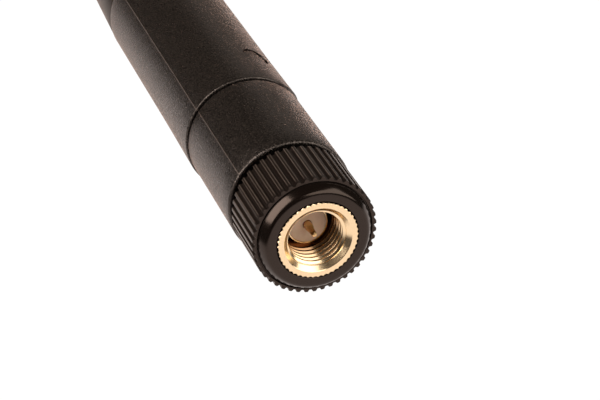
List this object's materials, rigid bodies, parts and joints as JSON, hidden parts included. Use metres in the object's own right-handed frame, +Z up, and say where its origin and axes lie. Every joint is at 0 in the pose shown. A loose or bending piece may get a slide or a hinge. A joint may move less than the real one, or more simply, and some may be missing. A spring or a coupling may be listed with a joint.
{
  "type": "tilt and swivel antenna",
  "caption": "Stub antenna with a knurled screw plug, a housing that swivels, a fork hinge that tilts to a right angle, and a round-tipped whip.",
  "frame": {"origin": "centre of the coupling nut's gold front face, on the antenna's axis", "axes": "+Y along the antenna from the plug's mouth towards the tip, +Z up, +X to the right as seen from the mouth's side; the tilt hinge folds the whip towards +X and a little down"},
  "size_m": [0.014, 0.111, 0.014],
  "materials": {
    "gold": "gold plated",
    "brass": "bare",
    "bronze": "bare",
    "spring_steel": "bright",
    "silvered_copper": "braided",
    "copper": "drawn wire",
    "insulator": "turned, waxy",
    "grip_plastic": "moulded, glossy nose and satin face",
    "eroded_plastic": "moulded with a fine spark-eroded texture",
    "acetal": "smooth",
    "sheath_plastic": "moulded, satin",
    "cable_jacket": "smooth",
    "foam": "cut foam"
  },
  "bodies": {
    "connector": {"plug_shell": "gold", "centre_pin": "gold", "plug_dielectric": "insulator", "retaining_ring": "bronze", "swivel_circlip": "spring_steel", "wave_washer": "spring_steel", "crimp_ferrule": "brass"},
    "nut": {"nut_insert": "gold", "nut_knob": "grip_plastic"},
    "base": {"base_housing": "eroded_plastic", "swivel_bush": "acetal", "coax_jacket": "cable_jacket", "coax_braid": "silvered_copper", "coax_dielectric": "insulator", "coax_conductor": "copper"},
    "whip": {"hinge_fork": "eroded_plastic", "pivot_pin_left": "acetal", "pivot_pin_right": "acetal", "whip_sheath": "sheath_plastic", "dipole_sleeve": "brass", "radiator_tube": "brass", "sleeve_spacer_lower": "foam", "sleeve_spacer_upper": "foam", "radiator_spacer": "foam"}
  },
  "joints": [
    {"name": "nut_spin", "type": "hinge", "parent": "connector", "child": "nut", "pos_m": [0, 0, 0], "axis": [0, 1, 0], "continuous": true},
    {"name": "base_swivel", "type": "hinge", "parent": "connector", "child": "base", "pos_m": [0, 0.0113, 0], "axis": [0, 1, 0], "range_deg": [-180, 180]},
    {"name": "whip_tilt", "type": "hinge", "parent": "base", "child": "whip", "pos_m": [0, 0.0314, 0], "axis": [-0.4848, 0, -0.8746], "range_deg": [0, 90], "deforming": ["coax_jacket", "coax_braid", "coax_dielectric", "coax_conductor"]}
  ]
}
